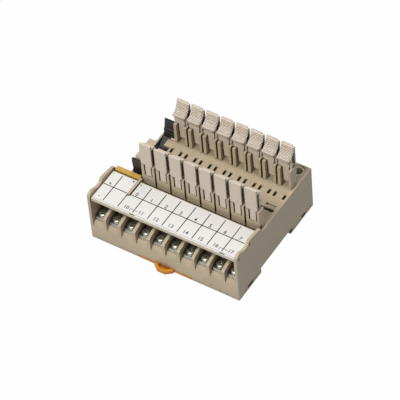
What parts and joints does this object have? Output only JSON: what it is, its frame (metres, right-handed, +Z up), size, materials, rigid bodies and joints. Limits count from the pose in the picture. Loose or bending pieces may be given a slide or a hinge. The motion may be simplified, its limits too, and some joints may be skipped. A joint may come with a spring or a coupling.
{
  "type": "relay socket base",
  "caption": "Beige rail-mounted base that takes a row of plug-in relays, with a two-tier screw terminal block under a hinged marking plate, upright levers and a pin connector.",
  "frame": {"origin": "middle of the rail slot, on the plane of the part's underside", "axes": "+X to the right along the rail, +Y from the terminals to the rear, +Z up from the rail through the deck"},
  "size_m": [0.102, 0.0884, 0.0646],
  "materials": {
    "case": "fine satin moulding, warm grey beige",
    "cover": "satin moulding",
    "label": "matt white card with fine black lines",
    "lever": "satin moulding, slightly lighter than the case",
    "amber": "amber satin plastic",
    "latch": "orange plastic",
    "black": "black plastic",
    "steel": "nickel plated steel",
    "tin": "tin plated copper",
    "contact": "spring brass",
    "board": "green solder resist",
    "diode": "black moulded diode"
  },
  "bodies": {
    "base": {"housing": "case", "base_plate": "case", "marker_strip": "amber", "lower_terminal_plates": "tin", "upper_terminal_plates": "tin", "lower_clamp_washers": "steel", "upper_clamp_washers": "steel", "lower_screws": "steel", "upper_screws": "steel", "connector_header": "black", "header_pins": "contact", "connector_board": "board", "circuit_board": "board", "load_contacts": "contact", "coil_contacts": "contact", "surge_diodes": "diode"},
    "cover": {"terminal_cover": "cover", "label_sheet": "label"},
    "latch": {"rail_latch": "latch"},
    "front_lever_1": {"front_lever_1": "lever"},
    "rear_lever_1": {"rear_lever_1": "lever"},
    "front_lever_2": {"front_lever_2": "lever"},
    "rear_lever_2": {"rear_lever_2": "lever"},
    "front_lever_3": {"front_lever_3": "lever"},
    "rear_lever_3": {"rear_lever_3": "lever"},
    "front_lever_4": {"front_lever_4": "lever"},
    "rear_lever_4": {"rear_lever_4": "lever"},
    "front_lever_5": {"front_lever_5": "lever"},
    "rear_lever_5": {"rear_lever_5": "lever"},
    "front_lever_6": {"front_lever_6": "lever"},
    "rear_lever_6": {"rear_lever_6": "lever"},
    "front_lever_7": {"front_lever_7": "lever"},
    "rear_lever_7": {"rear_lever_7": "lever"},
    "front_lever_8": {"front_lever_8": "lever"},
    "rear_lever_8": {"rear_lever_8": "lever"},
    "lock_lever_front": {"lock_lever_front": "black"},
    "lock_lever_rear": {"lock_lever_rear": "black"}
  },
  "joints": [
    {"name": "cover_hinge", "type": "hinge", "parent": "base", "child": "cover", "pos_m": [0, -0.0393, 0.03375], "axis": [1, 0, 0], "range_deg": [0, 110]},
    {"name": "latch_slide", "type": "slide", "parent": "base", "child": "latch", "axis": [0, -1, 0], "range_m": [0, 0.003], "stiffness_N_per_m": 600, "springref_m": -0.0005},
    {"name": "front_lever_hinge_1", "type": "hinge", "parent": "base", "child": "front_lever_1", "pos_m": [-0.02595, -0.01105, 0.0354], "axis": [1, 0, 0], "range_deg": [0, 5], "stiffness_Nm_per_rad": 0.3, "springref_deg": -1.15},
    {"name": "rear_lever_hinge_1", "type": "hinge", "parent": "base", "child": "rear_lever_1", "pos_m": [-0.02595, 0.0252, 0.0366], "axis": [-1, 0, 0], "range_deg": [0, 25]},
    {"name": "front_lever_hinge_2", "type": "hinge", "parent": "base", "child": "front_lever_2", "pos_m": [-0.01579, -0.01105, 0.0354], "axis": [1, 0, 0], "range_deg": [0, 5], "stiffness_Nm_per_rad": 0.3, "springref_deg": -1.15},
    {"name": "rear_lever_hinge_2", "type": "hinge", "parent": "base", "child": "rear_lever_2", "pos_m": [-0.01579, 0.0252, 0.0366], "axis": [-1, 0, 0], "range_deg": [0, 25]},
    {"name": "front_lever_hinge_3", "type": "hinge", "parent": "base", "child": "front_lever_3", "pos_m": [-0.00563, -0.01105, 0.0354], "axis": [1, 0, 0], "range_deg": [0, 5], "stiffness_Nm_per_rad": 0.3, "springref_deg": -1.15},
    {"name": "rear_lever_hinge_3", "type": "hinge", "parent": "base", "child": "rear_lever_3", "pos_m": [-0.00563, 0.0252, 0.0366], "axis": [-1, 0, 0], "range_deg": [0, 25]},
    {"name": "front_lever_hinge_4", "type": "hinge", "parent": "base", "child": "front_lever_4", "pos_m": [0.00453, -0.01105, 0.0354], "axis": [1, 0, 0], "range_deg": [0, 5], "stiffness_Nm_per_rad": 0.3, "springref_deg": -1.15},
    {"name": "rear_lever_hinge_4", "type": "hinge", "parent": "base", "child": "rear_lever_4", "pos_m": [0.00453, 0.0252, 0.0366], "axis": [-1, 0, 0], "range_deg": [0, 25]},
    {"name": "front_lever_hinge_5", "type": "hinge", "parent": "base", "child": "front_lever_5", "pos_m": [0.01469, -0.01105, 0.0354], "axis": [1, 0, 0], "range_deg": [0, 5], "stiffness_Nm_per_rad": 0.3, "springref_deg": -1.15},
    {"name": "rear_lever_hinge_5", "type": "hinge", "parent": "base", "child": "rear_lever_5", "pos_m": [0.01469, 0.0252, 0.0366], "axis": [-1, 0, 0], "range_deg": [0, 25]},
    {"name": "front_lever_hinge_6", "type": "hinge", "parent": "base", "child": "front_lever_6", "pos_m": [0.02485, -0.01105, 0.0354], "axis": [1, 0, 0], "range_deg": [0, 5], "stiffness_Nm_per_rad": 0.3, "springref_deg": -1.15},
    {"name": "rear_lever_hinge_6", "type": "hinge", "parent": "base", "child": "rear_lever_6", "pos_m": [0.02485, 0.0252, 0.0366], "axis": [-1, 0, 0], "range_deg": [0, 25]},
    {"name": "front_lever_hinge_7", "type": "hinge", "parent": "base", "child": "front_lever_7", "pos_m": [0.03501, -0.01105, 0.0354], "axis": [1, 0, 0], "range_deg": [0, 5], "stiffness_Nm_per_rad": 0.3, "springref_deg": -1.15},
    {"name": "rear_lever_hinge_7", "type": "hinge", "parent": "base", "child": "rear_lever_7", "pos_m": [0.03501, 0.0252, 0.0366], "axis": [-1, 0, 0], "range_deg": [0, 25]},
    {"name": "front_lever_hinge_8", "type": "hinge", "parent": "base", "child": "front_lever_8", "pos_m": [0.04517, -0.01105, 0.0354], "axis": [1, 0, 0], "range_deg": [0, 5], "stiffness_Nm_per_rad": 0.3, "springref_deg": -1.15},
    {"name": "rear_lever_hinge_8", "type": "hinge", "parent": "base", "child": "rear_lever_8", "pos_m": [0.04517, 0.0252, 0.0366], "axis": [-1, 0, 0], "range_deg": [0, 25]},
    {"name": "lock_lever_hinge_front", "type": "hinge", "parent": "base", "child": "lock_lever_front", "pos_m": [-0.0375, -0.002, 0.026], "axis": [1, 0, 0], "range_deg": [-20, 8]},
    {"name": "lock_lever_hinge_rear", "type": "hinge", "parent": "base", "child": "lock_lever_rear", "pos_m": [-0.0375, 0.017, 0.026], "axis": [-1, 0, 0], "range_deg": [-20, 25]}
  ]
}
